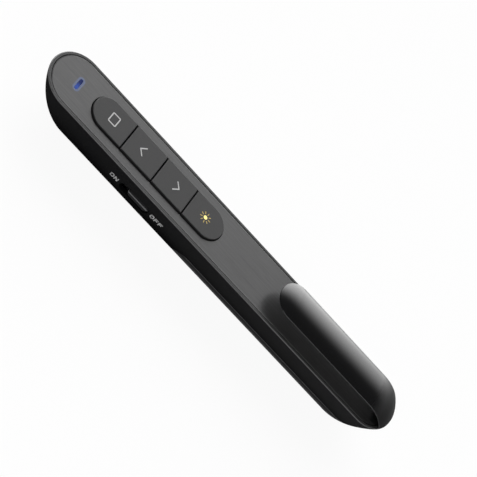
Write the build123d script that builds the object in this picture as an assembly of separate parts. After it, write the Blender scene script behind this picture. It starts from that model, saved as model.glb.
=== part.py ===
from build123d import *

import math
import os

# Wireless presentation clicker: a slim pen-shaped remote lying on its back.
# Millimetres. +X runs from the laser end to the pocket clip end, +Y is the plain side,
# -Y is the side with the power switch, +Z comes out of the face with the keys.
# The origin is under the middle of the body, on the surface that it lies on.

# ---- body --------------------------------------------------------------------------------
body_length = 152.3
body_width = 20.6
rim_edge_height = 13.4
rim_chamfer = 0.3
wall = 1.4
side_flat = 1.4
end_radius = 22.0
foot_trim = 0.35
hull_slices = 8
slice_bias = 1.5
bite = 0.1
beyond = 5.0
running_gap = 0.05

# ---- face panel --------------------------------------------------------------------------
rim_width = 1.0
panel_gap = 0.25
panel_thickness = 1.0
panel_drop = 0.1
ledge_width = 1.1
ledge_thickness = 1.0

# ---- keys --------------------------------------------------------------------------------
cluster_start = 6.88
cluster_length = 55.4
key_width = 11.5
key_gap = 0.3
key_split = 0.4
head_key_extra = 1.23
tail_key_extra = 0.93
key_count = 4
key_proud = 0.7
key_edge = 0.3
key_travel = 0.35
flange_width = 0.8
flange_thickness = 0.9
flange_gap = 0.1

# ---- board and what is on it -------------------------------------------------------------
board_bottom = 9.2
board_thickness = 0.8
board_side_gap = 0.9
board_head_gap = 3.7
board_tail_gap = 2.3
board_edge_notch = 1.1
board_notch_gap = 1.0
tact_size = 4.5
tact_height = 1.1
plunger_radius = 1.0
plunger_height = 0.5
chip_size = 5.0
chip_height = 0.9
chip_offset = -4.225
crystal_length = 3.2
crystal_width = 2.5
crystal_height = 0.7
crystal_corner = 0.3
crystal_offset = 2.7
capacitor_length = 1.6
capacitor_width = 0.8
capacitor_height = 0.8
capacitor_offsets = [(4.0, 4.0), (4.0, -3.0), (-4.0, 4.5), (22.0, 0.0)]
screw_shank_radius = 0.7
screw_head_radius = 1.4
screw_head_height = 0.7
screw_length = 4.5
screw_cross_length = 1.6
screw_cross_width = 0.35
post_radius = 1.7
post_inset = 2.4
head_post_offset = 1.97
tail_post_offset = 0.19

# ---- light window ------------------------------------------------------------------------
light_offset = 0.2
light_length = 4.4
light_width = 1.1
light_proud = 0.05
light_flange = 0.5
light_flange_thickness = 0.6
light_chip_length = 1.6
light_chip_width = 0.8
light_chip_height = 0.7

# ---- laser -------------------------------------------------------------------------------
laser_height = 7.0
barrel_radius = 2.0
barrel_bore = 1.5
barrel_length = 12.0
barrel_inset = 8.85
lens_thickness = 1.0
lens_recess = 0.3
diode_flange_radius = 1.9
diode_flange_thickness = 0.6
diode_can_length = 2.4
lead_pin_radius = 0.22
lead_pin_pitch = 1.4
lead_pin_run = 1.0
window_radius = 1.5
window_recess = 0.25
window_thickness = 1.0
cradle_rib = 1.0
cradle_rib_inset = 2.4
cradle_width = 6.8

# ---- power switch ------------------------------------------------------------------------
switch_height = 8.4
slot_offset = 0.62
knob_length = 8.4
knob_height = 3.0
knob_gap = 0.15
knob_end_gap = 0.35
knob_travel = 3.0
knob_sink = 0.35
knob_chamfer = 0.3
knob_wall_gap = 0.8
knob_flange_thickness = 0.6
knob_flange_lip = 0.6
switch_case_length = 8.6
switch_case_depth = 3.0
switch_case_gap = 0.15
lever_width = 1.6
lever_height = 1.2
lever_drop = 1.2
lever_sink = 0.6
lever_root = 1.6

# ---- battery bay -------------------------------------------------------------------------
cell_radius = 5.25
cell_length = 44.5
cell_nub_radius = 1.9
cell_nub_length = 0.8
cell_edge = 0.4
bay_gap = 1.37
cell_lift = 0.25
cradle_gap = 0.2
cradle_wall = 1.0
cradle_bottom = 4.6
bay_roof_thickness = 1.0
bay_roof_drop = 0.6
contact_thickness = 0.3
contact_width = 8.0
contact_height = 7.0
contact_leaf = 0.9
contact_leg_width = 2.0
contact_leg_lap = 1.5
contact_leg_root = 0.5
contact_leaf_lean = 0.2
contact_leaf_end = 1.0
lead_radius = 0.5
lead_gap = 0.7

# ---- battery door ------------------------------------------------------------------------
door_lap = 8.33
door_height = 7.2
door_corner = 6.0
seam = 0.15
door_rib_offset = 6.2
door_rib_length = 36.0
door_rib_height = 0.7
door_rib_depth = 1.6
ledge_overlap = 0.45
ledge_height = 0.75
tongue_length = 3.0
tongue_root = 2.0
tongue_inset = 4.5
tongue_width = 1.0
tongue_bottom = 2.9
tongue_height = 0.8

# ---- stored receiver ---------------------------------------------------------------------
receiver_width = 14.0
receiver_height = 5.5
receiver_cap_length = 6.8
receiver_bottom = 5.4
plug_length = 11.8
plug_width = 12.0
plug_height = 4.5
plug_skin = 0.3
plug_hole_radius = 1.1
plug_hole_inset = 7.08
contact_block_recess = 0.5
receiver_edge = 0.8
tongue_block_height = 1.9
pocket_gap = 0.15
pocket_wall = 0.8

# ---- clip --------------------------------------------------------------------------------
clip_width = 12.8
clip_gap = 4.5
clip_lip = 0.4
clip_crown = 1.5
clip_reach = 49.25
clip_bend_inset = 11.65
clip_bend_angle = 75.0
clip_bend_radius = 12.3
clip_seat_gap = 0.4
foot_thickness = 1.6
foot_width = 7.0
foot_gap = 0.3
foot_overhang = 1.1
foot_trim_gap = 0.2
pin_inset = 5.55
pin_drop = 2.8
pin_radius = 0.6
ear_length = 1.4
ear_drop = 1.2

# ---- worked out from the values above ----------------------------------------------------
half_length = body_length / 2
half_width = body_width / 2
face_height = rim_edge_height + rim_chamfer
head_centre = half_width - half_length
corner_radius = half_width - side_flat
corner_centre_z = corner_radius - foot_trim
end_centre_z = end_radius - foot_trim
end_centre_x = half_length - math.sqrt(end_radius**2 - (end_centre_z - rim_edge_height) ** 2)
panel_top = face_height - panel_drop
panel_bottom = panel_top - panel_thickness
recess_length = body_length - 2 * rim_width
recess_width = body_width - 2 * rim_width
ledge_bottom = panel_bottom - ledge_thickness
board_top = board_bottom + board_thickness
board_width = body_width - 2 * wall - 2 * board_side_gap
tact_top = board_top + tact_height
key_bottom = tact_top + plunger_height
key_top = panel_top + key_proud
cluster_head = head_centre + cluster_start
cluster_tail = cluster_head + cluster_length
cluster_middle = cluster_head + cluster_length / 2
key_pitch = (cluster_length - head_key_extra - tail_key_extra) / key_count
first_split = head_key_extra + key_pitch
splits = [cluster_head + first_split + key_pitch * index for index in range(key_count - 1)]
key_edges = [cluster_head] + splits + [cluster_tail]
key_centres = [(key_edges[index] + key_edges[index + 1]) / 2 for index in range(key_count)]
chip_x = key_centres[1] + chip_offset
crystal_x = key_centres[0] + crystal_offset
capacitor_places = [(chip_x + x, y) for x, y in capacitor_offsets]
post_y = board_width / 2 - post_inset
post_rows = (cluster_head + head_post_offset, splits[-1] - tail_post_offset)
post_places = [(x, y) for x in post_rows for y in (post_y, -post_y)]
light_centre = head_centre + light_offset
barrel_front = barrel_inset - half_length
barrel_back = barrel_front + barrel_length
slot_length = knob_length + knob_travel + 2 * knob_end_gap
slot_middle = (splits[0] + splits[-1]) / 2 + slot_offset
knob_middle = slot_middle + knob_travel / 2
knob_flange_face = half_width - wall - knob_wall_gap
switch_case_front = knob_flange_face - knob_flange_thickness - switch_case_gap
cell_height = wall + cell_lift + cell_radius
bay_half = cell_radius + cradle_gap
cradle_half = bay_half + cradle_wall
bay_start = cluster_tail + bay_gap + cradle_wall
board_tail = bay_start - cradle_wall - board_tail_gap
cell_start = bay_start + contact_thickness + contact_leaf
cell_end = cell_start + cell_length
bay_end = cell_end + contact_thickness
bay_roof_top = panel_bottom - bay_roof_drop
bay_roof_bottom = bay_roof_top - bay_roof_thickness
lead_y = half_width - wall - lead_gap - lead_radius
pocket_start = bay_end + cradle_wall
receiver_start = pocket_start + pocket_gap
plug_start = receiver_start + receiver_cap_length
plug_end = plug_start + plug_length
pocket_end = plug_end + pocket_gap
receiver_middle = receiver_bottom + receiver_height / 2
door_start = cluster_tail - door_lap
door_rib_start = bay_start - cradle_wall + door_rib_offset
door_rib_inner = half_width - wall - door_rib_depth
door_rib_top = door_height - 2 * seam
door_rib_bottom = door_rib_top - door_rib_height
ledge_outer = door_rib_inner + ledge_overlap
tongue_inner = half_width - wall - tongue_inset
clip_free_centre = half_length - clip_reach
clip_bend_start = half_length - clip_bend_inset
clip_under = rim_edge_height + clip_gap
pin_x = half_length - pin_inset
pin_height = face_height - pin_drop


def block(low_x, high_x, low_y, high_y, low_z, high_z):
    size = Box(high_x - low_x, high_y - low_y, high_z - low_z)
    return Pos((low_x + high_x) / 2, (low_y + high_y) / 2, (low_z + high_z) / 2) * size


def pair(low_x, high_x, inner_y, outer_y, low_z, high_z):
    plus = block(low_x, high_x, inner_y, outer_y, low_z, high_z)
    minus = block(low_x, high_x, -outer_y, -inner_y, low_z, high_z)
    return plus + minus


def prism(outline, low_z, high_z):
    return Pos(0, 0, low_z) * extrude(outline, amount=high_z - low_z)


def rod_x(low_x, high_x, y, z, radius):
    rod = Cylinder(radius, high_x - low_x, align=(Align.CENTER, Align.CENTER, Align.MIN))
    return Pos(low_x, y, z) * Rot(0, 90, 0) * rod


def rod_y(low_y, high_y, x, z, radius):
    rod = Cylinder(radius, high_y - low_y, align=(Align.CENTER, Align.CENTER, Align.MIN))
    return Pos(x, low_y, z) * Rot(-90, 0, 0) * rod


def rod_z(low_z, high_z, x, y, radius):
    rod = Cylinder(radius, high_z - low_z, align=(Align.CENTER, Align.CENTER, Align.MIN))
    return Pos(x, y, low_z) * rod


def slot_outline(length, width):
    return SlotOverall(length, width)


# ---- the boat-shaped hull ----------------------------------------------------------------
def hull_half_width(height, inset):
    if height >= corner_centre_z:
        return half_width - inset
    radius = corner_radius - inset
    return half_width - corner_radius + math.sqrt(radius**2 - (corner_centre_z - height) ** 2)


def hull_reach(height, inset):
    radius = end_radius - inset
    return end_centre_x + math.sqrt(radius**2 - (end_centre_z - height) ** 2)


def hull_slice(height, inset):
    outline = slot_outline(2 * hull_reach(height, inset), 2 * hull_half_width(height, inset))
    return Pos(0, 0, height) * outline


def hull(inset, top):
    shares = [(index / hull_slices) ** slice_bias for index in range(hull_slices + 1)]
    heights = [inset + (top - inset) * share for share in shares]
    return loft([hull_slice(height, inset) for height in heights])


def rim_collar():
    lower = Pos(0, 0, rim_edge_height) * slot_outline(body_length, body_width)
    upper_length = body_length - 2 * rim_chamfer
    upper = Pos(0, 0, face_height) * slot_outline(upper_length, body_width - 2 * rim_chamfer)
    return loft([lower, upper], ruled=True)


outer_hull = hull(0, rim_edge_height)
cavity = hull(wall, ledge_bottom)


def tub():
    ledge_length = recess_length - 2 * ledge_width
    ledge_opening = slot_outline(ledge_length, recess_width - 2 * ledge_width)
    solid = outer_hull + rim_collar()
    solid -= prism(slot_outline(recess_length, recess_width), panel_bottom, face_height + beyond)
    solid -= prism(ledge_opening, ledge_bottom, panel_bottom)
    return solid - cavity


def door_region(shrink):
    # side view of what the door takes from the hull, with its rounded upper corner
    left = door_start + shrink
    top = door_height - shrink
    right = half_length + beyond
    bottom = -beyond
    outline = Polyline((left, bottom), (left, top), (right, top), (right, bottom), close=True)
    side = make_face(outline)
    corner = side.vertices().sort_by(Axis.X)[:2].sort_by(Axis.Y)[-1]
    side = fillet(corner, door_corner)
    return extrude(Plane.XZ * side, amount=body_width, both=True)


# ---- casing ------------------------------------------------------------------------------
def bay_roof():
    # plate that hangs the battery cradle and the receiver pocket from the side walls
    start = bay_start - cradle_wall
    end = pocket_end + pocket_wall
    roof = block(start, end, -half_width, half_width, bay_roof_bottom, bay_roof_top)
    return roof - block(bay_start, bay_end, -bay_half, bay_half, bay_roof_bottom, bay_roof_top)


def battery_cradle():
    start = bay_start - cradle_wall
    walls = pair(start, pocket_start, bay_half, cradle_half, cradle_bottom, bay_roof_top)
    walls += block(start, bay_start, -cradle_half, cradle_half, cradle_bottom, bay_roof_top)
    walls += block(bay_end, pocket_start, -cradle_half, cradle_half, cradle_bottom, bay_roof_top)
    leg_room = contact_leg_width / 2 + cradle_gap
    leg_top = board_top + contact_thickness + cradle_gap
    walls -= block(start, bay_start, -leg_room, leg_room, board_top - cradle_gap, leg_top)
    ledge_top = door_rib_bottom - seam
    ledge_low = ledge_top - ledge_height
    ledge_start = door_rib_start - seam
    return walls + pair(ledge_start, pocket_start, cradle_half - bite, ledge_outer, ledge_low, ledge_top)


def receiver_pocket():
    inner = receiver_width / 2 + pocket_gap
    outer = inner + pocket_wall
    pocket = block(bay_end, pocket_end + pocket_wall, -outer, outer, door_height, bay_roof_top)
    return pocket - block(pocket_start, pocket_end, -inner, inner, door_height, bay_roof_bottom)


def board_posts():
    posts = Part()
    for x, y in post_places:
        posts += rod_z(0, board_bottom, x, y, post_radius)
    return posts


def laser_cradle():
    ribs = Part()
    for x in (barrel_front + cradle_rib_inset, barrel_back - cradle_rib_inset):
        ribs += block(x, x + cradle_rib, -cradle_width / 2, cradle_width / 2, 0, laser_height)
    clear = barrel_radius + running_gap
    return ribs - rod_x(barrel_front - beyond, barrel_back + beyond, 0, laser_height, clear)


def clip_ears():
    inner = foot_width / 2 + foot_gap
    side = foot_thickness / 2 + foot_gap
    low = pin_height - ear_drop
    return pair(pin_x - side, pin_x + side, inner, half_width, low, ledge_bottom + bite)


def body_shell():
    skin = tub() - door_region(0)
    inner = bay_roof() + battery_cradle() + receiver_pocket()
    inner += board_posts() + laser_cradle() + clip_ears()
    # inner features reach into the walls and stop inside the outer skin
    shell = skin + (inner & hull(wall / 2, rim_edge_height))
    shell -= rod_x(-half_length - beyond, barrel_front, 0, laser_height, window_radius)
    for x, y in post_places:
        shell -= rod_z(board_top - screw_length, board_bottom, x, y, screw_shank_radius)
    ear_end = foot_width / 2 + foot_gap + ear_length
    shell -= rod_y(-ear_end, ear_end, pin_x, pin_height, pin_radius + running_gap)
    opening = slot_outline(slot_length, knob_height + 2 * knob_gap)
    cut = Rot(90, 0, 0) * extrude(opening, amount=2 * wall, both=True)
    return shell - Pos(slot_middle, -half_width, switch_height) * cut


def battery_door():
    inside = hull(wall / 2, rim_edge_height)
    door = tub() & door_region(seam)
    rib_end = door_rib_start + door_rib_length
    ribs = pair(door_rib_start, rib_end, door_rib_inner, half_width, door_rib_bottom, door_rib_top)
    front = door_start + seam
    root = front + tongue_root
    tongue_outer = tongue_inner + tongue_width
    tongue_top = tongue_bottom + tongue_height
    tongues = pair(front - tongue_length, root, tongue_inner, tongue_outer, tongue_bottom, tongue_top)
    gussets = pair(front, root, tongue_inner, half_width, tongue_bottom, tongue_top)
    return door + (ribs & inside) + tongues + (gussets & inside & door_region(seam))


def face_panel():
    length = recess_length - 2 * panel_gap
    width = recess_width - 2 * panel_gap
    panel = prism(slot_outline(length, width), panel_bottom, panel_top)
    aperture = slot_outline(cluster_length + key_gap, key_width + 2 * key_gap)
    panel -= Pos(cluster_middle, 0, 0) * prism(aperture, panel_bottom, panel_top)
    light_hole = slot_outline(light_length + 2 * running_gap, light_width + 2 * running_gap)
    panel -= Pos(light_centre, 0, 0) * Rot(0, 0, 90) * prism(light_hole, panel_bottom, panel_top)
    side = foot_thickness / 2 + foot_gap
    reach = foot_width / 2 + foot_gap
    return panel - block(pin_x - side, pin_x + side, -reach, reach, panel_bottom, panel_top)


# ---- keys --------------------------------------------------------------------------------
def cluster_prism(grow, low_z, high_z):
    outline = slot_outline(cluster_length - key_gap + 2 * grow, key_width + 2 * grow)
    return Pos(cluster_middle, 0, 0) * prism(outline, low_z, high_z)


def key_cap(index):
    low = key_edges[index] + (key_split / 2 if index > 0 else -2 * flange_width)
    high = key_edges[index + 1] - (key_split / 2 if index < key_count - 1 else -2 * flange_width)
    share = block(low, high, -half_width, half_width, board_top, key_top + beyond)
    cap = cluster_prism(0, key_bottom, key_top) & share
    cap = fillet(cap.faces().sort_by(Axis.Z)[-1].edges(), key_edge)
    flange_top = panel_bottom - flange_gap
    return cap + (cluster_prism(flange_width, flange_top - flange_thickness, flange_top) & share)


def tact_switches():
    half = tact_size / 2
    cases = []
    for centre in key_centres:
        case = block(centre - half, centre + half, -half, half, board_top, tact_top)
        dimple_low = tact_top - key_travel - running_gap
        cases.append(case - rod_z(dimple_low, tact_top, centre, 0, plunger_radius + running_gap))
    return Compound(children=[case.solid() for case in cases])


def tact_plunger(index):
    return rod_z(tact_top, key_bottom, key_centres[index], 0, plunger_radius)


# ---- board -------------------------------------------------------------------------------
def main_board():
    head = -hull_reach(board_bottom, wall) + board_head_gap
    head_half = board_width / 2
    board = block(head + head_half, board_tail, -head_half, head_half, board_bottom, board_top)
    board += rod_z(board_bottom, board_top, head + head_half, 0, head_half)
    for x, y in post_places:
        board -= rod_z(board_bottom, board_top, x, y, screw_shank_radius + running_gap)
    notch_half = (knob_length + knob_travel) / 2 + knob_flange_lip + board_notch_gap
    low = slot_middle - notch_half
    high = slot_middle + notch_half
    return board - block(low, high, -head_half, board_edge_notch - head_half, board_bottom, board_top)


def board_screws():
    screws = []
    for x, y in post_places:
        screw = rod_z(board_top - screw_length, board_top, x, y, screw_shank_radius)
        screw += rod_z(board_top, board_top + screw_head_height, x, y, screw_head_radius)
        cross = Box(screw_cross_length, screw_cross_width, screw_cross_width)
        cross += Box(screw_cross_width, screw_cross_length, screw_cross_width)
        screws.append(screw - Pos(x, y, board_top + screw_head_height) * cross)
    return Compound(children=[screw.solid() for screw in screws])


def radio_chip():
    half = chip_size / 2
    return block(chip_x - half, chip_x + half, -half, half, board_bottom - chip_height, board_bottom)


def crystal():
    half = crystal_length / 2
    side = crystal_width / 2
    low = board_bottom - crystal_height
    can = block(crystal_x - half, crystal_x + half, -side, side, low, board_bottom)
    return fillet(can.edges().filter_by(Axis.Z), crystal_corner)


def capacitors():
    half = capacitor_length / 2
    side = capacitor_width / 2
    low = board_bottom - capacitor_height
    chips = []
    for x, y in capacitor_places:
        chips.append(block(x - half, x + half, y - side, y + side, low, board_bottom))
    return Compound(children=[chip.solid() for chip in chips])


def light_chip():
    half = light_chip_width / 2
    side = light_chip_length / 2
    top = board_top + light_chip_height
    return block(light_centre - half, light_centre + half, -side, side, board_top, top)


def light_window():
    flange_top = panel_bottom - running_gap
    flange_bottom = flange_top - light_flange_thickness
    flange = slot_outline(light_length + 2 * light_flange, light_width + 2 * light_flange)
    pill = slot_outline(light_length, light_width)
    window = prism(pill, flange_bottom, panel_top + light_proud) + prism(flange, flange_bottom, flange_top)
    window += prism(pill, board_top + light_chip_height + running_gap, flange_bottom)
    return Pos(light_centre, 0, 0) * Rot(0, 0, 90) * window


# ---- laser -------------------------------------------------------------------------------
def laser_barrel():
    barrel = rod_x(barrel_front, barrel_back, 0, laser_height, barrel_radius)
    return barrel - rod_x(barrel_front, barrel_back, 0, laser_height, barrel_bore)


def laser_lens():
    start = barrel_front + lens_recess
    return rod_x(start, start + lens_thickness, 0, laser_height, barrel_bore)


def laser_diode():
    can = rod_x(barrel_back - diode_can_length, barrel_back, 0, laser_height, barrel_bore)
    end = barrel_back + diode_flange_thickness
    return can + rod_x(barrel_back, end, 0, laser_height, diode_flange_radius)


def laser_leads():
    # two bent pins from the back of the diode up to the underside of the board
    start = barrel_back + diode_flange_thickness
    bend = start + lead_pin_run
    pins = []
    for y in (-lead_pin_pitch / 2, lead_pin_pitch / 2):
        pin = rod_x(start, bend, y, laser_height, lead_pin_radius)
        pin += Pos(bend, y, laser_height) * Sphere(lead_pin_radius)
        pins.append(pin + rod_z(laser_height, board_bottom, bend, y, lead_pin_radius))
    return Compound(children=[pin.solid() for pin in pins])


def laser_window():
    rod = rod_x(-half_length, barrel_front, 0, laser_height, window_radius)
    outside = hull(window_recess, rim_edge_height)
    inside = hull(window_recess + window_thickness, rim_edge_height)
    return (rod & outside) - inside


# ---- power switch ------------------------------------------------------------------------
def lever_block(grow):
    half = lever_width / 2 + grow
    side = lever_height / 2 + grow
    front = knob_flange_face - knob_flange_thickness + lever_sink + grow
    back = lever_root - switch_case_front
    middle = switch_height - lever_drop
    return block(knob_middle - half, knob_middle + half, -front, back, middle - side, middle + side)


def switch_knob():
    pad = Pos(knob_middle, knob_sink - half_width, switch_height) * Rot(-90, 0, 0)
    depth = half_width - knob_sink - knob_flange_face
    knob = pad * extrude(slot_outline(knob_length, knob_height), amount=depth)
    knob = chamfer(knob.faces().sort_by(Axis.Y)[0].edges(), knob_chamfer)
    low = knob_middle - knob_length / 2 - knob_flange_lip
    high = knob_middle + knob_length / 2 + knob_flange_lip
    side = knob_height / 2 + knob_flange_lip
    back = knob_flange_thickness - knob_flange_face
    knob += block(low, high, -knob_flange_face, back, switch_height - side, switch_height + side)
    return knob - lever_block(running_gap)


def switch_lever():
    return lever_block(0)


def switch_case():
    half = switch_case_length / 2
    inner = switch_case_depth - switch_case_front
    bottom = board_bottom - switch_case_depth
    low = slot_middle - half
    high = slot_middle + half
    case = block(low, high, -switch_case_front, inner, bottom, board_bottom)
    room = (lever_width + knob_travel) / 2 + 2 * running_gap
    side = lever_height / 2 + running_gap
    middle = switch_height - lever_drop
    back = lever_root - switch_case_front + 2 * running_gap
    low = slot_middle - room
    high = slot_middle + room
    return case - block(low, high, -switch_case_front, back, middle - side, middle + side)


# ---- battery and its contacts ------------------------------------------------------------
def battery():
    can = rod_x(cell_start, cell_end - cell_nub_length, 0, cell_height, cell_radius)
    can = fillet(can.edges().filter_by(GeomType.CIRCLE), cell_edge)
    return can + rod_x(cell_end - cell_nub_length - bite, cell_end, 0, cell_height, cell_nub_radius)


def negative_contact():
    # plate on the bay wall, a leg through the wall to the board and a sprung leaf to the cell
    half = contact_width / 2
    leg = contact_leg_width / 2
    low = cell_height - contact_height / 2
    high = cell_height + contact_height / 2
    face = bay_start + contact_thickness
    leg_top = board_top + contact_thickness
    plate = block(bay_start, face, -half, half, low, high)
    plate += block(bay_start, face, -leg, leg, high - contact_leg_root, leg_top)
    plate += block(board_tail - contact_leg_lap, face, -leg, leg, board_top, leg_top)
    end_x = face + contact_leaf_lean
    end_z = high - contact_leaf_end
    front = [(face, low), (cell_start, cell_height), (end_x, end_z)]
    back = [(end_x - bite, end_z), (cell_start - contact_thickness, cell_height)]
    back.append((face, low + contact_thickness))
    leaf = make_face(Polyline(*front, *back, close=True))
    return plate + extrude(Plane.XZ * leaf, amount=contact_leg_width, both=True)


def positive_contact():
    half = contact_width / 2
    low = cell_height - contact_height / 2
    high = cell_height + contact_height / 2
    return block(cell_end, cell_end + contact_thickness, -half, half, low, high)


def positive_lead():
    return rod_x(board_tail, bay_end, lead_y, board_bottom, lead_radius)


# ---- stored receiver ---------------------------------------------------------------------
def receiver_cap():
    half = receiver_width / 2
    top = receiver_bottom + receiver_height
    cap = block(receiver_start, plug_start, -half, half, receiver_bottom, top)
    return fillet(cap.faces().sort_by(Axis.X)[0].edges(), receiver_edge)


def plug_block(shrink):
    half = plug_width / 2 - shrink
    side = plug_height / 2 - shrink
    low = receiver_middle - side
    return block(plug_start, plug_end, -half, half, low, receiver_middle + side)


def receiver_plug():
    plug = plug_block(0) - plug_block(plug_skin)
    top = receiver_bottom + receiver_height
    for y in (-plug_width / 4, plug_width / 4):
        plug -= rod_z(receiver_bottom, top, plug_start + plug_hole_inset, y, plug_hole_radius)
    return plug


def receiver_contacts():
    half = plug_width / 2 - plug_skin
    low = receiver_middle - plug_height / 2 + plug_skin
    high = low + tongue_block_height
    return block(plug_start, plug_end - contact_block_recess, -half, half, low, high)


# ---- clip --------------------------------------------------------------------------------
def clip_half_profile():
    # right half of the clip's cross-section, in a plane across the body
    half = clip_width / 2
    crown_radius = (half**2 + clip_crown**2) / (2 * clip_crown)
    angle = math.asin(half / crown_radius) / 2
    centre = clip_lip + clip_crown - crown_radius
    shoulder = (crown_radius * math.sin(angle), centre + crown_radius * math.cos(angle))
    outline = Line((0, 0), (half, 0))
    outline += Line((half, 0), (half, clip_lip))
    outline += ThreePointArc((half, clip_lip), shoulder, (0, clip_lip + clip_crown))
    outline += Line((0, clip_lip + clip_crown), (0, 0))
    return make_face(outline)


def clip():
    half_face = clip_half_profile()
    whole_face = half_face + mirror(half_face, about=Plane.YZ)
    across = Plane(origin=(clip_free_centre, 0, clip_under), x_dir=(0, 1, 0), z_dir=(1, 0, 0))
    bar = extrude(across * whole_face, amount=clip_bend_start - clip_free_centre)
    nose_axis = Axis((clip_free_centre, 0, 0), (0, 0, 1))
    nose = revolve(across * half_face, axis=nose_axis, revolution_arc=180)
    bend_plane = Plane(origin=(clip_bend_start, 0, clip_under), x_dir=(0, 1, 0), z_dir=(1, 0, 0))
    bend_axis = Axis((clip_bend_start, 0, clip_under - clip_bend_radius), (0, 1, 0))
    bend = revolve(bend_plane * whole_face, axis=bend_axis, revolution_arc=clip_bend_angle)
    side = foot_thickness / 2
    half = foot_width / 2
    foot = block(pin_x - side, pin_x + side, -half, half, pin_height - foot_overhang, clip_under)
    bend_height = clip_under - clip_bend_radius
    foot_reach = clip_bend_radius + foot_trim_gap
    foot &= rod_y(-half_width, half_width, clip_bend_start, bend_height, foot_reach)
    seat = face_height + clip_seat_gap
    plan = prism(slot_outline(body_length, body_width), seat, clip_under + 2 * clip_gap)
    solid = (bar + nose + bend) & plan
    bore = pin_radius + running_gap
    return solid + foot - rod_y(-half_width, half_width, pin_x, pin_height, bore)


def clip_pin():
    end = foot_width / 2 + foot_gap + ear_length - running_gap
    return rod_y(-end, end, pin_x, pin_height, pin_radius)


parts = {
    "body_shell": body_shell(),
    "face_panel": face_panel(),
    "battery_door": battery_door(),
    "key_screen": key_cap(0),
    "key_previous": key_cap(1),
    "key_next": key_cap(2),
    "key_laser": key_cap(3),
    "plunger_screen": tact_plunger(0),
    "plunger_previous": tact_plunger(1),
    "plunger_next": tact_plunger(2),
    "plunger_laser": tact_plunger(3),
    "tact_switches": tact_switches(),
    "main_board": main_board(),
    "board_screws": board_screws(),
    "radio_chip": radio_chip(),
    "crystal": crystal(),
    "capacitors": capacitors(),
    "light_chip": light_chip(),
    "light_window": light_window(),
    "laser_barrel": laser_barrel(),
    "laser_lens": laser_lens(),
    "laser_diode": laser_diode(),
    "laser_leads": laser_leads(),
    "laser_window": laser_window(),
    "switch_knob": switch_knob(),
    "switch_lever": switch_lever(),
    "switch_case": switch_case(),
    "battery": battery(),
    "negative_contact": negative_contact(),
    "positive_contact": positive_contact(),
    "positive_lead": positive_lead(),
    "receiver_cap": receiver_cap(),
    "receiver_plug": receiver_plug(),
    "receiver_contacts": receiver_contacts(),
    "clip": clip(),
    "clip_pin": clip_pin(),
}

os.makedirs("parts", exist_ok=True)
for name, solid in parts.items():
    export_step(solid, f"parts/{name}.step")
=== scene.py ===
import math

import bmesh
import bpy
from mathutils import Matrix, Vector


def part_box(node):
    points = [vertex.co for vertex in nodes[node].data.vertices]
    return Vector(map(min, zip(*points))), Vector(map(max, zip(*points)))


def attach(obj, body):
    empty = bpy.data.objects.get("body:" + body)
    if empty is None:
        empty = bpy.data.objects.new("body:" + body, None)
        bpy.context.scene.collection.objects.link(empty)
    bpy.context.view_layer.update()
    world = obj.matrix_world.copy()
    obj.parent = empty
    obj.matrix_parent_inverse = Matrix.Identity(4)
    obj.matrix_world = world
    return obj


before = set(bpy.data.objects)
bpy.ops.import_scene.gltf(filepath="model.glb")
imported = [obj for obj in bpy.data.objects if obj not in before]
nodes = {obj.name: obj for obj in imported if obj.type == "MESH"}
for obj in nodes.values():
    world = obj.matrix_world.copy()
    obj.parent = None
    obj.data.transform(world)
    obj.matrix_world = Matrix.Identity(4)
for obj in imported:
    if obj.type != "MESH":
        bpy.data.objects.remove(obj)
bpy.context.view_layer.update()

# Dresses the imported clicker: a finish for every solid, the printed symbols and the stage. x runs
# from the laser end to the clip end and z comes out of the keys. Blender works in metres, while the
# places in the dictionaries below are in millimetres unless they say otherwise. A name in PerMm is
# a noise scale, a swing is how far a noise moves a value from end to end, a share is the part that
# the first of two noises has, and a depth is that of a bump, in metres.

mm = 0.001
print("clicker: loaded", len(nodes), "solids")


class Wire:  # one output socket, so that shader maths reads as an expression
    def __init__(self, graph, end):
        self.graph = graph
        self.end = end

    def maths(self, operation, first, second=0.0):
        values = {0: first, 1: second}
        return self.graph.add("ShaderNodeMath", {"operation": operation}, values)

    def __add__(self, other):
        return self.maths("ADD", self, other)

    def __radd__(self, other):
        return self.maths("ADD", other, self)

    def __sub__(self, other):
        return self.maths("SUBTRACT", self, other)

    def __rsub__(self, other):
        return self.maths("SUBTRACT", other, self)

    def __mul__(self, other):
        return self.maths("MULTIPLY", self, other)

    def __rmul__(self, other):
        return self.maths("MULTIPLY", other, self)

    def __pow__(self, other):
        return self.maths("POWER", self, other)

    def __gt__(self, other):
        return self.maths("GREATER_THAN", self, other)

    def __lt__(self, other):
        return self.maths("LESS_THAN", self, other)

    def top(self, other):
        return self.maths("MAXIMUM", self, other)

    def low(self, other):
        return self.maths("MINIMUM", self, other)

    def size(self):
        return self.maths("ABSOLUTE", self)

    def ease(self, start, end):  # 0 before start, 1 after end
        settings = {"interpolation_type": "SMOOTHSTEP", "clamp": True}
        return self.graph.add("ShaderNodeMapRange", settings, {0: self, 1: start, 2: end})

    def hypot(self, other):  # distance from the two legs of a right angle
        return (self * self + other * other) ** 0.5


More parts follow.
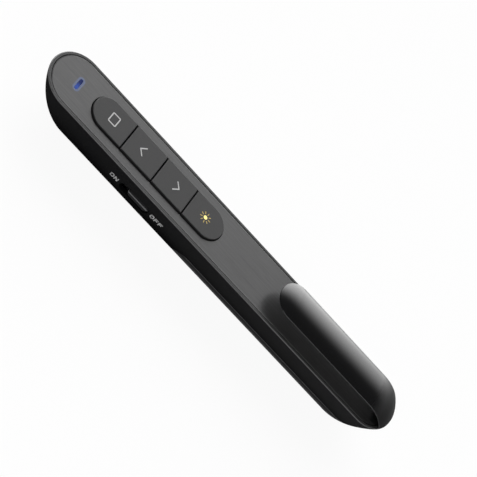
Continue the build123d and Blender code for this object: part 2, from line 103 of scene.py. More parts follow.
class Graph:  # a node tree with one method for all its nodes
    def __init__(self, tree):
        self.tree = tree

    def add(self, kind, settings=None, values=None, out=0):
        made = self.tree.nodes.new(kind)
        for key, value in (settings or {}).items():
            setattr(made, key, value)
        for key, value in (values or {}).items():
            self.feed(made.inputs[key], value)
        return Wire(self, made.outputs[out]) if made.outputs else None

    def feed(self, entry, value):
        if isinstance(value, Wire):
            self.tree.links.new(value.end, entry)
        elif hasattr(entry.default_value, "__len__"):
            spare = len(entry.default_value) - len(value)
            entry.default_value = (*value, *[1.0] * spare)
        else:
            entry.default_value = value

    def mixColour(self, mask, first, second):
        values = {0: mask, 6: first, 7: second}
        return self.add("ShaderNodeMix", {"data_type": "RGBA"}, values, out=2)

    def vector(self, operation, first, second):
        return self.add("ShaderNodeVectorMath", {"operation": operation}, {0: first, 1: second})

    def split(self, vector):
        kind, values = "ShaderNodeSeparateXYZ", {0: vector}
        return [self.add(kind, {}, values, out=axis) for axis in range(3)]


class Finish(Graph):  # a material around its Principled shader
    def __init__(self, name, colour, roughness, metallic=0.0, shine=0.5):
        self.material = bpy.data.materials.new(name)
        self.material.use_nodes = True
        super().__init__(self.material.node_tree)
        self.shader = self.tree.nodes["Principled BSDF"]
        self.give("Base Color", colour)
        self.give("Roughness", roughness)
        self.give("Metallic", metallic)
        self.give("Specular IOR Level", shine)
        place = self.add("ShaderNodeTexCoord", out="Object")
        self.inMm = self.vector("MULTIPLY", place, [1 / mm] * 3)

    def give(self, name, value):
        self.feed(self.shader.inputs[name], value)

    def noise(self, perMm, detail=2.0, roughness=0.5, shift=(0.0, 0.0, 0.0)):
        moved = self.vector("ADD", self.vector("MULTIPLY", self.inMm, perMm), shift)
        values = {"Vector": moved, "Scale": 1.0, "Detail": detail, "Roughness": roughness}
        return self.add("ShaderNodeTexNoise", {}, values)

    def grain(self, perMm, **options):
        return self.noise((perMm, perMm, perMm), **options)

    def tones(self, pattern, first, second, span=(0.3, 0.7)):  # two colours shared out by a noise
        return self.mixColour(pattern.ease(*span), first, second)

    def vary(self, name, middle, *patterns):  # each noise moves the value by its own swing
        for pattern, swing in patterns:
            middle = middle + (pattern - 0.5) * swing
        self.give(name, middle)

    def bump(self, height, depth):
        self.give("Normal", self.add("ShaderNodeBump", {}, {"Height": height, "Distance": depth}))


def shade(colour, factor):
    return tuple(channel * factor for channel in colour)


def blend(first, second, share):
    return first * share + second * (1 - share)


def dress(material, *names):
    for name in names:
        slots = nodes[name].data.materials
        slots.clear()
        slots.append(material)


# Face panel: dark metal, finely brushed along its length.
panel = {
    "dark": (0.047, 0.047, 0.0475),
    "light": (0.07, 0.07, 0.0705),
    "metallic": 0.5,
    "shine": 0.25,
    "roughness": 0.34,
    "roughnessSwing": 0.2,
    "finePerMm": (0.2, 10.0, 10.0),  # brushed streaks
    "broadPerMm": (0.05, 2.2, 2.2),
    "fineShare": 0.6,
    "streakDepth": 0.0000025,
    "edgeHighlightTone": 1.3,          # painted highlight along the sides
    "bandStart": 0.4,         # inside the edge
    "edgeHighlightFull": 0.24,
    "headShadeStart": 0.36,     # painted shade on the chamfer round the laser end, inside the edge
    "headShadeFull": 0.24,
    "turnStart": 5.5,         # where it starts, as a distance past the middle of the round end
    "turnFull": 8.4,
    "clipShadeStart": 68.4,        # along the body, where the painted shade under the clip begins
    "clipShadeFull": 70.4,
    "clipShadeSide": 6.5,          # its edge, from the middle outwards
    "shadedWallDrop": 0.06,          # depth below the face at which its cut walls are painted black as shade
    "paintedGlow": (0.069, 0.083, 0.132),  # painted glow: the indicator's blue light painted onto the panel round it
    "paintedGlowReach": 0.4,
}


def brushed(finish):
    fine = finish.noise(panel["finePerMm"], detail=4.0, roughness=0.65)
    broad = finish.noise(panel["broadPerMm"], detail=3.0, shift=(7.0, 3.0, 1.0))
    streaks = blend(fine, broad, panel["fineShare"])
    return streaks, finish.tones(streaks, panel["dark"], panel["light"])


def paintedGlowMask(along, across):  # mask of the painted glow: 1 at the indicator's outline and inside it, 0 beyond the reach
    low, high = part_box("light_window")
    halfX, halfY = (high.x - low.x) / 2 / mm, (high.y - low.y) / 2 / mm
    asideX = (along - (low.x + high.x) / 2 / mm).size()
    asideY = (across.size() - (halfY - halfX)).top(0.0)
    return 1.0 - (asideX.hypot(asideY) - halfX).ease(0.0, panel["paintedGlowReach"])


def panelFinish():
    low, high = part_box("face_panel")
    start, side, face = low.x / mm, high.y / mm, high.z / mm
    finish = Finish("panelBrushed", panel["dark"], panel["roughness"], shine=panel["shine"])
    along, across, height = finish.split(finish.inMm)
    streaks, grey = brushed(finish)
    # painted highlight: a lighter, non-metallic band along the panel's sides
    band = across.size().ease(side - panel["bandStart"], side - panel["edgeHighlightFull"])
    grey = finish.mixColour(band, grey, shade(panel["light"], panel["edgeHighlightTone"]))
    past = (start + side - along).top(0.0)  # the round end's radius is half the width
    # painted shade: the chamfer round the laser end takes the casing's black
    rim = past.hypot(across).ease(side - panel["headShadeStart"], side - panel["headShadeFull"])
    chamfer = rim * past.ease(panel["turnStart"], panel["turnFull"])
    # painted shade: the cut walls below the face take the casing's black
    cut = height < face - panel["shadedWallDrop"]
    # painted shade under the clip's root, in the casing's black
    clipShade = along.ease(panel["clipShadeStart"], panel["clipShadeFull"]) * (across.size() < panel["clipShadeSide"])
    bare = 1.0 - chamfer.top(cut).top(clipShade)
    # the indicator's light is painted onto the panel as a blue glow
    lit = finish.mixColour(paintedGlowMask(along, across), grey, panel["paintedGlow"])
    finish.give("Base Color", finish.mixColour(bare, casing["black"], lit))
    finish.give("Metallic", (bare - band).top(0.0) * panel["metallic"])
    finish.vary("Roughness", panel["roughness"], (streaks, panel["roughnessSwing"]))
    finish.bump(streaks, panel["streakDepth"])
    return finish.material


# Casing and battery door: satin moulded black. The casing's rim carries the panel's grey, and
# the door's cut edge has a painted highlight.
casing = {
    "black": (0.0112, 0.0112, 0.0116),
    "fleck": (0.0166, 0.0166, 0.0172),
    "wearAndPaintedLight": (0.0235, 0.0235, 0.024),  # painted light: paler towards the clip end
    "clipEndLightStart": -64.0,
    "clipEndLightFull": 74.0,
    "deep": (0.0066, 0.0066, 0.007),  # painted shade: darker low down, where the wall turns under
    "lowShadeStart": 10.8,        # above the back
    "lowShadeFull": 4.6,
    "rimStart": 13.36,        # above the back, where the rim's grey begins
    "rimFull": 13.53,
    "chamferHighlightTone": 2.55,         # painted highlight on the chamfer round the rim
    "chamferHighlightTop": 13.66,
    "roughness": 0.45,
    "shine": 0.0,
}

door = {
    "black": (0.005, 0.005, 0.0056),
    "fleck": (0.009, 0.009, 0.01),
    "edgeHighlightGrey": (0.085, 0.085, 0.087),
    "edgeStart": 0.408,       # inside the cut
    "edgeFull": 0.17,
    "headCorner": 5.85,       # radius of the cut's corner at the laser side
    "roughness": 0.4,
    "shine": 0.04,
}

moulded = {
    "grainPerMm": 7.0,
    "grainSwing": 0.1,
    "grainDepth": 0.00001,
    "cloudPerMm": 0.12,
    "cloudSwing": 0.12,
    "fleckSpan": (0.35, 0.75),  # of the grain's values
}


def mouldedFinish(name, look):
    finish = Finish(name, look["black"], look["roughness"], shine=look["shine"])
    cloud = finish.grain(moulded["cloudPerMm"], detail=3.0)
    grain = finish.grain(moulded["grainPerMm"])
    finish.vary("Roughness", look["roughness"], (cloud, moulded["cloudSwing"]),
                (grain, moulded["grainSwing"]))
    finish.bump(grain, moulded["grainDepth"])
    return finish, finish.tones(grain, look["black"], look["fleck"], moulded["fleckSpan"])


def casingFinish():
    finish, black = mouldedFinish("casingBlack", casing)
    along, _, height = finish.split(finish.inMm)
    # painted light: the casing's black grows paler towards the clip end
    wearAndPaintedLight = along.ease(casing["clipEndLightStart"], casing["clipEndLightFull"])
    black = finish.mixColour(wearAndPaintedLight, black, casing["wearAndPaintedLight"])
    # painted shade low down on the wall
    upper = height.ease(casing["lowShadeFull"], casing["lowShadeStart"])
    black = finish.mixColour(upper, casing["deep"], black)
    rim = height.ease(casing["rimStart"], casing["rimFull"])
    # painted highlight on the rim's chamfer
    edge = height < casing["chamferHighlightTop"]
    grey = finish.mixColour(edge, brushed(finish)[1], shade(panel["light"], casing["chamferHighlightTone"]))
    finish.give("Base Color", finish.mixColour(rim, black, grey))
    finish.give("Metallic", rim * panel["metallic"])
    return finish.material


def doorFinish():
    low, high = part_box("battery_door")
    finish, black = mouldedFinish("doorBlack", door)
    along, _, height = finish.split(finish.inMm)
    corner = door["headCorner"]
    pastX = ((low.x / mm + corner) - along).top(0.0)  # how far outside the corner's own centre
    pastZ = (height - (high.z / mm - corner)).top(0.0)
    edge = pastX.hypot(pastZ).ease(corner - door["edgeStart"], corner - door["edgeFull"])
    # painted highlight along the door's cut edge
    finish.give("Base Color", finish.mixColour(edge, black, door["edgeHighlightGrey"]))
    return finish.material


dress(panelFinish(), "face_panel")
dress(casingFinish(), "body_shell")
dress(doorFinish(), "battery_door")
print("clicker: panel, casing and door dressed")


# Keys: satin dark grey tops; the sides are painted black as shade.
keys = {
    "grey": (0.048, 0.048, 0.0485),
    "fleck": (0.058, 0.058, 0.0585),
    "side": (0.02, 0.02, 0.0205),
    "sideShadeTop": 0.16,          # below the top, where the painted shade on the sides begins to turn grey
    "greyFull": 0.06,
    "roughness": 0.5,
    "shine": 0.12,
    "grainPerMm": 9.0,
    "grainSwing": 0.12,
    "grainDepth": 0.000006,
    "cloudPerMm": 0.2,
    "cloudSwing": 0.08,
}


def keyFinish():
    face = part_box("key_screen")[1].z / mm
    finish = Finish("keySatin", keys["grey"], keys["roughness"], shine=keys["shine"])
    grain = finish.grain(keys["grainPerMm"])
    cloud = finish.grain(keys["cloudPerMm"])
    height = finish.split(finish.inMm)[2]
    # painted shade on the key sides
    upper = height.ease(face - keys["sideShadeTop"], face - keys["greyFull"])
    grey = finish.tones(grain, keys["grey"], keys["fleck"])
    finish.give("Base Color", finish.mixColour(upper, keys["side"], grey))
    finish.vary("Roughness", keys["roughness"], (grain, keys["grainSwing"]),
                (cloud, keys["cloudSwing"]))
    finish.bump(grain, keys["grainDepth"])
    return finish.material


dress(keyFinish(), "key_screen", "key_previous", "key_next", "key_laser")


# Clip: polished black. The edge of its underside is painted lighter, a painted highlight.
clip = {
    "black": (0.0035, 0.0035, 0.004),
    "dust": (0.007, 0.007, 0.0075),
    "dustPerMm": 5.0,
    "dustSpan": (0.66, 0.8),  # of the noise's values
    "dustDepth": 0.0000004,
    "roughness": 0.2,
    "cloudPerMm": 0.1,
    "cloudSwing": 0.04,
    "bendX": 64.5,            # axis of the bend
    "bendZ": 5.6,
    "bendRadius": 12.3,       # of the underside
    "lip": (0.045, 0.045, 0.047),
    "lipFull": 0.252,         # above the underside
    "lipGone": 0.42,
    "lipSide": 5.9,           # from the middle outwards
    "lipRoughness": 0.2,      # added to the rest
    "tipStart": 63.5,         # where the polish wears off round the bend, and where it is dull
    "tipFull": 72.5,
    "tipRoughness": 0.95,
}


def clipFinish():
    finish = Finish("clipGloss", clip["black"], clip["roughness"])
    along, across, height = finish.split(finish.inMm)
    rise = (along - clip["bendX"]).top(0.0).hypot(height - clip["bendZ"])
    lipGone = rise.ease(clip["bendRadius"] + clip["lipFull"], clip["bendRadius"] + clip["lipGone"])
    # painted highlight along the edge of the clip's underside
    lip = (1.0 - lipGone) * (across.size() > clip["lipSide"])
    cloud = finish.grain(clip["cloudPerMm"], detail=3.0)
    dust = finish.grain(clip["dustPerMm"], detail=1.0)
    black = finish.tones(dust, clip["black"], clip["dust"], clip["dustSpan"])
    finish.give("Base Color", finish.mixColour(lip, black, clip["lip"]))
    tip = along.ease(clip["tipStart"], clip["tipFull"]) * (clip["tipRoughness"] - clip["roughness"])
    wearAndPaintedLight = lip * clip["lipRoughness"] + tip
    finish.vary("Roughness", wearAndPaintedLight + clip["roughness"], (cloud, clip["cloudSwing"]))
    finish.bump(dust, clip["dustDepth"])
    return finish.material


dress(clipFinish(), "clip")
print("clicker: keys and clip dressed")


# Indicator: blue light pipe across the head of the panel, lit from one end.
indicator = {
    "bright": (0.035, 0.07, 0.29),
    "deep": (0.012, 0.02, 0.085),
    "brightEnd": -1.4,        # across the body
    "dimEnd": 1.2,
    "glow": 0.25,
    "shine": 0.04,
    "roughness": 0.21,
    "hazePerMm": 1.4,
    "hazeSwing": 0.1,
    "hazeShift": 0.3,         # how far the haze moves the mix of the two blues
}


def indicatorFinish():
    finish = Finish("lightBlue", indicator["bright"], indicator["roughness"],
                    shine=indicator["shine"])
    across = finish.split(finish.inMm)[1]
    haze = finish.grain(indicator["hazePerMm"])
    dim = across.ease(indicator["brightEnd"], indicator["dimEnd"])
    mask = (dim + (haze - 0.5) * indicator["hazeShift"]).top(0.0).low(1.0)
    colour = finish.mixColour(mask, indicator["bright"], indicator["deep"])
    finish.give("Base Color", colour)
    finish.give("Emission Color", colour)
    finish.give("Emission Strength", indicator["glow"])
    finish.vary("Roughness", indicator["roughness"], (haze, indicator["hazeSwing"]))
    return finish.material


dress(indicatorFinish(), "light_window")


# Laser end: tinted window over a brass barrel and its lens.
laser = {
    "tint": (0.05, 0.004, 0.006),
    "tintAlpha": 0.82,
    "tintRoughness": 0.09,
    "glass": (0.75, 0.8, 0.86),
    "glassAlpha": 0.4,
    "glassRoughness": 0.07,
    "brass": (0.62, 0.43, 0.16),
    "brassRoughness": 0.28,
}

clear = {
    "hazePerMm": 1.1,
    "hazeTone": 0.6,
    "hazeSwing": 0.08,
    "alphaSwing": 0.1,
}

turned = {
    "ringsPerMm": (14.0, 1.2, 1.2),
    "ringShare": 0.6,
    "ringSwing": 0.2,
    "ringDepth": 0.00001,
    "dullPerMm": 0.6,
    "dullTone": 0.72,
}


def clearFinish(name, colour, alpha, roughness):
    finish = Finish(name, colour, roughness)
    haze = finish.grain(clear["hazePerMm"], detail=3.0)
    finish.give("Base Color", finish.mixColour(haze, colour, shade(colour, clear["hazeTone"])))
    finish.vary("Roughness", roughness, (haze, clear["hazeSwing"]))
    finish.vary("Alpha", alpha, (haze, clear["alphaSwing"]))
    return finish.material


def turnedFinish(name, colour, roughness):
    finish = Finish(name, colour, roughness, metallic=1.0)
    rings = finish.noise(turned["ringsPerMm"], detail=3.0)
    dull = finish.grain(turned["dullPerMm"], detail=3.0)
    pattern = blend(rings, dull, turned["ringShare"])
    finish.give("Base Color", finish.tones(pattern, shade(colour, turned["dullTone"]), colour))
    finish.vary("Roughness", roughness, (rings, turned["ringSwing"]))
    finish.bump(rings, turned["ringDepth"])
    return finish.material


dress(clearFinish("windowTint", laser["tint"], laser["tintAlpha"], laser["tintRoughness"]),
      "laser_window")
dress(clearFinish("lensClear", laser["glass"], laser["glassAlpha"], laser["glassRoughness"]),
      "laser_lens")
dress(turnedFinish("turnedBrass", laser["brass"], laser["brassRoughness"]), "laser_barrel")
print("clicker: indicator and laser end dressed")


# Power switch: near-black knob with a painted highlight along its middle, painted shade on the half
# above it and a lighter half below.
switch = {
    "black": (0.006, 0.006, 0.0066),
    "fleckTone": 1.6,
    "under": (0.014, 0.014, 0.015),  # the half below the painted highlight, lighter than the shaded half above
    "ridgeHighlight": (0.2, 0.2, 0.204),
    "ridgeRise": 0.05,        # above the knob's middle
    "ridgeFull": 0.136,       # to each side of that
    "ridgeGone": 0.34,
    "roughness": 0.45,
    "shine": 0.1,
    "grainPerMm": 8.0,
    "grainSwing": 0.1,
    "grainDepth": 0.000012,
}


def knobFinish():
    low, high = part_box("switch_knob")
    finish = Finish("knobSatin", switch["black"], switch["roughness"], shine=switch["shine"])
    grain = finish.grain(switch["grainPerMm"])
    above = finish.split(finish.inMm)[2] - (low.z + high.z) / 2 / mm
    black = finish.mixColour(grain, switch["black"], shade(switch["black"], switch["fleckTone"]))
    # painted shade on the upper half, a lighter lower half and a painted highlight between them
    sides = finish.mixColour(above < 0.0, black, switch["under"])
    aside = (above - switch["ridgeRise"]).size()
    ridgeHighlight = 1.0 - aside.ease(switch["ridgeFull"], switch["ridgeGone"])
    finish.give("Base Color", finish.mixColour(ridgeHighlight, sides, switch["ridgeHighlight"]))
    finish.vary("Roughness", switch["roughness"], (grain, switch["grainSwing"]))
    finish.bump(grain, switch["grainDepth"])
    return finish.material


dress(knobFinish(), "switch_knob", "switch_lever")


# Circuit board: green resist over copper traces.
board = {
    "resist": (0.012, 0.11, 0.045),
    "copper": (0.03, 0.19, 0.075),
    "tracesPerMm": 0.77,
    "traceWander": 0.35,
    "traceFull": 0.03,        # in widths of a cell, from the trace's middle
    "traceGone": 0.09,
    "traceDepth": 0.00003,
    "roughness": 0.32,
    "grainPerMm": 4.0,
    "grainSwing": 0.12,
}


def boardFinish():
    finish = Finish("boardGreen", board["resist"], board["roughness"])
    cells = {"Vector": finish.inMm, "Scale": board["tracesPerMm"],
             "Randomness": board["traceWander"]}
    spread = finish.add("ShaderNodeTexVoronoi", {"feature": "DISTANCE_TO_EDGE"}, cells)
    traces = 1.0 - spread.ease(board["traceFull"], board["traceGone"])
    finish.give("Base Color", finish.mixColour(traces, board["resist"], board["copper"]))
    finish.vary("Roughness", board["roughness"],
                (finish.grain(board["grainPerMm"]), board["grainSwing"]))
    finish.bump(traces, board["traceDepth"])
    return finish.material


dress(boardFinish(), "main_board")


# Small mouldings and the red lead: colour, roughness and the solids that have them.
mouldings = {
    "switchNylon": ((0.05, 0.05, 0.05), 0.5, "switch_case", "tact_switches"),
    "plungerGrey": ((0.28, 0.28, 0.27), 0.5,
                    "plunger_screen", "plunger_previous", "plunger_next", "plunger_laser"),
    "chipBlack": ((0.02, 0.02, 0.021), 0.55, "radio_chip"),
    "ceramicTan": ((0.42, 0.3, 0.17), 0.6, "capacitors"),
    "lightChip": ((0.8, 0.78, 0.62), 0.35, "light_chip"),
    "leadRed": ((0.45, 0.02, 0.02), 0.45, "positive_lead"),
    "receiverBlack": ((0.018, 0.018, 0.019), 0.42, "receiver_cap"),
    "contactCarrier": ((0.72, 0.72, 0.7), 0.4, "receiver_contacts"),
}

nylon = {
    "grainPerMm": 6.0,
    "grainShare": 0.5,
    "grainSwing": 0.15,
    "flowPerMm": (0.4, 1.6, 1.6),
    "flowTones": (0.8, 1.2),
    "depth": 0.000015,
}


def nylonFinish(name, colour, roughness):
    finish = Finish(name, colour, roughness)
    grain = finish.grain(nylon["grainPerMm"])
    flow = finish.noise(nylon["flowPerMm"], detail=3.0)
    pattern = blend(grain, flow, nylon["grainShare"])
    dark, light = [shade(colour, tone) for tone in nylon["flowTones"]]
    finish.give("Base Color", finish.tones(pattern, dark, light))
    finish.vary("Roughness", roughness, (grain, nylon["grainSwing"]))
    finish.bump(pattern, nylon["depth"])
    return finish.material


# Plated metal, in the same form.
platings = {
    "steelTinned": ((0.55, 0.55, 0.56), 0.3,
                    "board_screws", "crystal", "laser_leads", "clip_pin", "laser_diode"),
    "nickelPlate": ((0.66, 0.63, 0.58), 0.22,
                    "negative_contact", "positive_contact", "receiver_plug"),
}

plated = {
    "scratchPerMm": (1.0, 9.0, 9.0),
    "scratchShare": 0.5,
    "scratchSwing": 0.2,
    "scratchDepth": 0.000006,
    "stainPerMm": 0.5,
    "stainTone": 0.8,
    "stainSpan": (0.35, 0.65),  # of the mixed noise's values
}


def platedFinish(name, colour, roughness):
    finish = Finish(name, colour, roughness, metallic=1.0)
    scratch = finish.noise(plated["scratchPerMm"], detail=4.0)
    stain = finish.grain(plated["stainPerMm"], detail=3.0)
    pattern = blend(scratch, stain, plated["scratchShare"])
    stained = shade(colour, plated["stainTone"])
    finish.give("Base Color", finish.tones(pattern, stained, colour, plated["stainSpan"]))
    finish.vary("Roughness", roughness, (scratch, plated["scratchSwing"]))
    finish.bump(scratch, plated["scratchDepth"])
    return finish.material


for makeFinish, table in ((nylonFinish, mouldings), (platedFinish, platings)):
    for name, (colour, roughness, *solids) in table.items():
        dress(makeFinish(name, colour, roughness), *solids)


# Battery: a plain wrapped cell with bare metal ends.
cell = {
    "wrap": (0.03, 0.07, 0.16),
    "band": (0.42, 0.43, 0.45),
    "bandStart": 30.0,        # from the negative end
    "bandEnd": 41.0,
    "metal": (0.6, 0.6, 0.6),
    "bareStart": 43.2,
    "crimp": 0.5,
    "roughness": 0.31,
    "grainPerMm": 3.0,
    "grainSwing": 0.14,
}


def cellFinish():
    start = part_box("battery")[0].x / mm
    finish = Finish("cellWrap", cell["wrap"], cell["roughness"])
    along = finish.split(finish.inMm)[0] - start
    band = (along > cell["bandStart"]) * (along < cell["bandEnd"])
    metal = (along > cell["bareStart"]).top(along < cell["crimp"])
    sleeve = finish.mixColour(band, cell["wrap"], cell["band"])
    finish.give("Base Color", finish.mixColour(metal, sleeve, cell["metal"]))
    finish.give("Metallic", metal)
    finish.vary("Roughness", cell["roughness"],
                (finish.grain(cell["grainPerMm"]), cell["grainSwing"]))
    return finish.material


dress(cellFinish(), "battery")
print("clicker: inner pieces dressed")


# Inks for the printed symbols, and how thickly they lie.
inks = {
    "white": (0.52, 0.52, 0.52),
    "label": (0.48, 0.48, 0.48),
    "yellow": (0.5, 0.37, 0.11),
    "yellowPaintedGlow": 0.1,
    "core": (1.0, 0.86, 0.3),
    "corePaintedGlow": 0.3,
    "thinTone": 0.88,
    "thinSpan": (0.25, 0.75),  # of the grain's values
    "shine": 0.2,
    "roughness": 0.525,
    "grainPerMm": 12.0,
    "grainSwing": 0.15,
    "proud": 0.02,
    "sunk": 0.03,
    "weld": 0.002,            # corners nearer than this become one
}


def inkFinish(name, colour, glow=0.0):
    finish = Finish(name, colour, inks["roughness"], shine=inks["shine"])
    grain = finish.grain(inks["grainPerMm"])
    tone = finish.tones(grain, shade(colour, inks["thinTone"]), colour, inks["thinSpan"])
    finish.give("Base Color", tone)
    finish.vary("Roughness", inks["roughness"], (grain, inks["grainSwing"]))
    # painted glow: the yellow inks are given an emission of their own
    finish.give("Emission Color", tone)
    finish.give("Emission Strength", glow)
    return finish.material


whiteInk = inkFinish("inkWhite", inks["white"])
yellowInk = inkFinish("inkYellow", inks["yellow"], inks["yellowPaintedGlow"])
coreInk = inkFinish("inkCore", inks["core"], inks["corePaintedGlow"])
labelInk = inkFinish("inkLabel", inks["label"])

mitreLimit = 0.3  # keeps a ribbon's outer corner from running far out


def ribbon(points, width, closed=False, cut=None):  # flat strip of quads along a line
    count = len(points)
    line = [Vector(point) for point in points]
    sides = []
    for index, here in enumerate(line):
        if cut:  # ends and joints all cut this way, in place of mitres
            sides.append((here + Vector(cut) * width / 2, here - Vector(cut) * width / 2))
            continue
        steps = []
        if index > 0 or closed:
            steps.append((here - line[index - 1]).normalized())
        if index < count - 1 or closed:
            steps.append((line[(index + 1) % count] - here).normalized())
        normals = [Vector((-step.y, step.x)) for step in steps]
        across = sum(normals, Vector((0.0, 0.0))).normalized()
        reach = width / 2 / max(mitreLimit, across.dot(normals[0]))
        sides.append((here + across * reach, here - across * reach))
    quads = []
    for index in range(count if closed else count - 1):
        left, right = sides[index]
        nextLeft, nextRight = sides[(index + 1) % count]
        quads.append([left, nextLeft, nextRight, right])
    return quads


def finely(points, step, closed=False):  # the same line with points no more than a step apart
    ends = points[1:] + points[:1] if closed else points[1:]
    line = []
    for start, end in zip(points, ends):
        parts = max(1, math.ceil((end - start).length / step))
        line.extend(start.lerp(end, part / parts) for part in range(parts))
    if not closed:
        line.append(points[-1])
    return line


def roundedLoop(halfX, halfY, radius, steps=6):
    loop = []
    for cornerX, cornerY, start in ((1, 1, 0), (-1, 1, 90), (-1, -1, 180), (1, -1, 270)):
        for step in range(steps + 1):
            angle = math.radians(start + 90 * step / steps)
            loop.append((cornerX * (halfX - radius) + radius * math.cos(angle),
                         cornerY * (halfY - radius) + radius * math.sin(angle)))
    return loop


def circle(centreX, centreY, radius, steps=32):
    turns = [2 * math.pi * step / steps for step in range(steps)]
    return [Vector((centreX + radius * math.cos(turn), centreY + radius * math.sin(turn)))
            for turn in turns]


def dropInner(work):  # walls left standing between two neighbouring plates
    inner = [face for face in work.faces if all(len(edge.link_faces) > 2 for edge in face.edges)]
    bmesh.ops.delete(work, geom=inner, context="FACES_ONLY")


# Builds one printed piece from flat faces. Its settle function gives the place of a point on the
# solid, and the direction that is outwards there.
def printPiece(name, faces, settle, material, body):
    mesh = bpy.data.meshes.new(name)
    work = bmesh.new()
    for face in faces:
        upper, lower = [], []
        for point in face:
            place, outward = settle(point)
            upper.append(work.verts.new(place + outward * inks["proud"] * mm))
            lower.append(work.verts.new(place - outward * inks["sunk"] * mm))
        work.faces.new(upper)
        work.faces.new(lower[::-1])
        for index in range(len(face)):
            after = (index + 1) % len(face)
            work.faces.new([upper[after], upper[index], lower[index], lower[after]])
    bmesh.ops.remove_doubles(work, verts=work.verts, dist=inks["weld"] * mm)
    dropInner(work)
    bmesh.ops.recalc_face_normals(work, faces=work.faces)
    work.to_mesh(mesh)
    work.free()
    piece = bpy.data.objects.new(name, mesh)
    bpy.context.scene.collection.objects.link(piece)
    mesh.materials.append(material)
    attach(piece, body)


def keyTop(name):
    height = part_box(name)[1].z

    def settle(point):
        return Vector((point[0] * mm, point[1] * mm, height)), Vector((0.0, 0.0, 1.0))
    return settle


# Symbols on the keys: an outlined screen, two arrows and a small sun for the laser.
icons = {
    "stroke": 0.38,
    "screenCentre": (-51.05, 0.1),
    "screenHalf": (1.4, 1.8),
    "screenCorner": 0.3,
    "arrows": {"previous": (-39.55, -37.85, 1.83),  # tip, ends and half width
               "next": (-22.8, -24.5, 1.85)},
    "sunCentre": (-11.05, 0.12),
    "sunRays": 9,
    "rayStart": 1.15,
    "rayEnd": 2.0,
    "rayWidth": 0.28,
    "coreRadius": 0.68,
}


def printSymbols():
    middle = Vector(icons["screenCentre"])
    outline = [middle + Vector(point)
               for point in roundedLoop(*icons["screenHalf"], icons["screenCorner"])]
    screen = ribbon(outline, icons["stroke"], closed=True)
    printPiece("print_screen", screen, keyTop("key_screen"), whiteInk, "screen_key")
    for name, (tip, ends, half) in icons["arrows"].items():
        arrow = ribbon([(ends, -half), (tip, 0.0), (ends, half)], icons["stroke"])
        printPiece(f"print_{name}", arrow, keyTop(f"key_{name}"), whiteInk, f"{name}_key")
    middle = Vector(icons["sunCentre"])
    rays = []
    for ray in range(icons["sunRays"]):
        angle = 2 * math.pi * ray / icons["sunRays"]
        heading = Vector((math.cos(angle), math.sin(angle)))
        rays += ribbon([middle + heading * icons["rayStart"], middle + heading * icons["rayEnd"]],
                       icons["rayWidth"])
    printPiece("print_rays", rays, keyTop("key_laser"), yellowInk, "laser_key")
    core = [circle(*icons["sunCentre"], icons["coreRadius"])]
    printPiece("print_core", core, keyTop("key_laser"), coreInk, "laser_key")


# Words beside the switch, wrapped onto the side wall.
labels = {
    "words": {"ON": -40.8, "OFF": -23.5},  # where each starts along the body
    "bottom": 8.02,
    "height": 1.55,
    "letterWidth": 1.46,
    "letterGap": 0.28,
    "stroke": 0.38,
    "corner": 0.3,
    "cornerSteps": 4,
    "slant": 0.7,             # upright height of the stroke across the N
    "lap": 0.01,              # strokes run into each other by this much
    "step": 0.35,             # a stroke follows the wall in pieces no longer than this
    "outside": -30.0,         # across the body, well clear of the wall
}


def sideWall(name):
    wall = nodes[name]
    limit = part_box(name)[0].y + inks["proud"] * mm  # keeps the print inside the solid's own box

    def settle(point):
        start = Vector((point[0] * mm, labels["outside"] * mm, point[1] * mm))
        hit, place, _, _ = wall.ray_cast(start, Vector((0.0, 1.0, 0.0)))
        if not hit:
            raise ValueError(f"no wall behind {point}")
        return Vector((place.x, max(place.y, limit), place.z)), Vector((0.0, -1.0, 0.0))
    return settle


# Gives each stroke as points round the letter's middle, width, whether it is closed, and how its
# ends are cut.
def letterStrokes(letter):
    stroke = labels["stroke"]
    side, top = (labels["letterWidth"] - stroke) / 2, labels["height"] / 2
    inside = side - stroke / 2 + labels["lap"]
    if letter == "O":
        loop = roundedLoop(side, top - stroke / 2, labels["corner"], labels["cornerSteps"])
        return [(loop, stroke, True, None)]
    if letter == "N":
        fall = top - labels["slant"] / 2
        return [([(-side, -top), (-side, top)], stroke, False, None),
                ([(side, -top), (side, top)], stroke, False, None),
                ([(-inside, fall), (inside, -fall)], labels["slant"], False, (0.0, 1.0))]
    bar = top - stroke / 2
    return [([(side + stroke / 2, bar), (-side, bar), (-side, -top)], stroke, False, None),
            ([(-inside, 0.0), (side, 0.0)], stroke, False, None)]


def printWord(word, start):
    width = labels["letterWidth"]
    faces = []
    for index, letter in enumerate(word):
        middle = Vector((start + width / 2 + index * (width + labels["letterGap"]),
                         labels["bottom"] + labels["height"] / 2))
        for points, broad, closed, cut in letterStrokes(letter):
            placed = [middle + Vector(point) for point in points]
            faces += ribbon(finely(placed, labels["step"], closed), broad, closed, cut)
    printPiece(f"print_{word.lower()}", faces, sideWall("body_shell"), labelInk, "casing")


printSymbols()
for word, start in labels["words"].items():
    printWord(word, start)
print("clicker: symbols printed")


# Stage: a pale floor, a sky with one broad soft light, and a weak lamp on the switch side.
floor = {
    "half": 3.0,              # metres
    "drop": 0.3,
    "white": (0.9, 0.9, 0.9),
    "plainSeen": 0.93,        # share of plain white in what the camera sees of the floor
    "plainMirrored": 0.4,     # and in what glossy and clear surfaces show of it
}

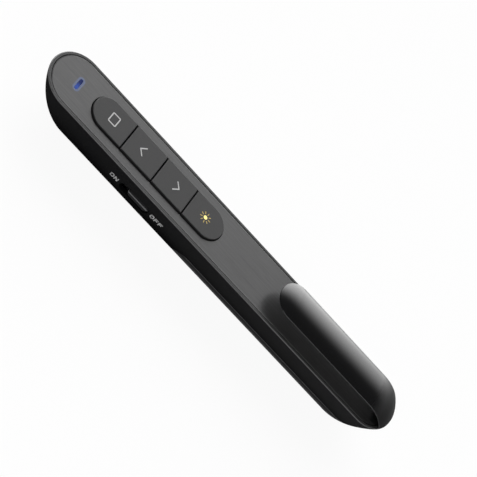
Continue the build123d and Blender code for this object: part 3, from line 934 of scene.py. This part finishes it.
sky = {
    "overhead": (0.12, 0.12, 0.12),
    "horizon": (0.6, 0.6, 0.6),
    "horizonTop": 0.35,       # height on the unit sphere at which the pale band has ended
    "boxLight": 6.2,
    "boxFull": 27.0,          # degrees over the +y horizon, with full strength below this
    "boxGone": 71.0,
    "drift": (-0.2, 0.3, 0.2),       # from and to along +x on the unit sphere, and the share lost
    "tailEdge": (0.27, 0.37, 0.48),
    "tailGlow": (0.37, 0.7, 0.28),
    "headEdge": (0.5, 0.95, 1.0),    # the same along -x
}

fill = {
    "azimuth": 262.0,         # degrees
    "elevation": 38.0,
    "distance": 0.9,          # metres
    "size": 1.0,
    "radiance": 0.9,
}

eye = {
    "place": (-0.1200, -0.3358, 0.3874),  # metres
    "right": (0.66107785, 0.43518938, 0.61121705),
    "up": (-0.71306639, 0.61787928, 0.33130276),
    "back": (-0.23347891, -0.65485526, 0.71878522),
    "lens": 130.09,
    "sensor": 36.0,
    "nearest": 0.01,          # metres
    "farthest": 20.0,
}


def makeFloor():
    half = floor["half"]
    mesh = bpy.data.meshes.new("floor")
    corners = [(-half, -half, 0.0), (half, -half, 0.0), (half, half, 0.0), (-half, half, 0.0)]
    mesh.from_pydata(corners, [], [(0, 1, 2, 3)])
    ground = bpy.data.objects.new("floor", mesh)
    ground.location.z = -floor["drop"] * mm
    bpy.context.scene.collection.objects.link(ground)
    material = bpy.data.materials.new("floorPale")
    material.use_nodes = True
    material.node_tree.nodes.clear()
    graph = Graph(material.node_tree)
    kinds = ("Is Camera Ray", "Is Glossy Ray", "Is Transmission Ray")
    camera, glossy, through = [graph.add("ShaderNodeLightPath", out=kind) for kind in kinds]
    mirrored = (glossy + through).low(1.0) * floor["plainMirrored"]
    share = camera * floor["plainSeen"] + mirrored
    matte = graph.add("ShaderNodeBsdfDiffuse", {}, {"Color": floor["white"]})
    white = graph.add("ShaderNodeEmission", {}, {"Color": (1.0, 1.0, 1.0), "Strength": 1.0})
    mixed = graph.add("ShaderNodeMixShader", {}, {0: share, 1: matte, 2: white})
    graph.add("ShaderNodeOutputMaterial", {}, {"Surface": mixed})
    mesh.materials.append(material)


def makeSky():
    world = bpy.data.worlds.new("studio")
    bpy.context.scene.world = world
    world.use_nodes = True
    world.node_tree.nodes.clear()
    graph = Graph(world.node_tree)
    along, across, height = graph.split(graph.add("ShaderNodeTexCoord", out="Generated"))
    rise = height.maths("ARCTAN2", height, across) * math.degrees(1.0)
    shape = 1.0 - rise.ease(sky["boxFull"], sky["boxGone"])
    box = shape
    fades = ((along, "drift"), (along, "tailEdge"), (along, "tailGlow"), (0.0 - along, "headEdge"))
    for direction, fade in fades:
        start, end, lost = sky[fade]
        box = box - direction.ease(start, end) * lost * shape
    strength = box.top(0.0) * sky["boxLight"]
    band = graph.mixColour(height.ease(0.0, sky["horizonTop"]), sky["horizon"], sky["overhead"])
    base = graph.add("ShaderNodeBackground", {}, {"Color": band, "Strength": 1.0})
    light = graph.add("ShaderNodeBackground", {}, {"Color": (1.0, 1.0, 1.0), "Strength": strength})
    both = graph.add("ShaderNodeAddShader", {}, {0: base, 1: light})
    graph.add("ShaderNodeOutputWorld", {}, {"Surface": both})


def makeFill():
    light = bpy.data.lights.new("fill", "AREA")
    light.shape = "DISK"
    light.size = fill["size"]
    light.energy = fill["radiance"] * math.pi * math.pi / 4 * fill["size"] ** 2  # watts
    turn, tilt = math.radians(fill["azimuth"]), math.radians(fill["elevation"])
    outward = Vector((math.cos(turn) * math.cos(tilt), math.sin(turn) * math.cos(tilt),
                      math.sin(tilt)))
    holder = bpy.data.objects.new("fill", light)
    holder.location = outward * fill["distance"]
    holder.rotation_mode = "QUATERNION"
    holder.rotation_quaternion = outward.to_track_quat("Z", "Y")
    holder.visible_camera = False
    bpy.context.scene.collection.objects.link(holder)


def makeCamera():
    data = bpy.data.cameras.new("camera")
    data.lens = eye["lens"]
    data.sensor_width = eye["sensor"]
    data.clip_start = eye["nearest"]
    data.clip_end = eye["farthest"]
    camera = bpy.data.objects.new("camera", data)
    turn = Matrix((eye["right"], eye["up"], eye["back"])).transposed()
    camera.matrix_world = Matrix.Translation(eye["place"]) @ turn.to_4x4()
    bpy.context.scene.collection.objects.link(camera)
    bpy.context.scene.camera = camera


makeFloor()
makeSky()
makeFill()
makeCamera()
bpy.context.scene.view_settings.view_transform = "Standard"
print("clicker: stage set")
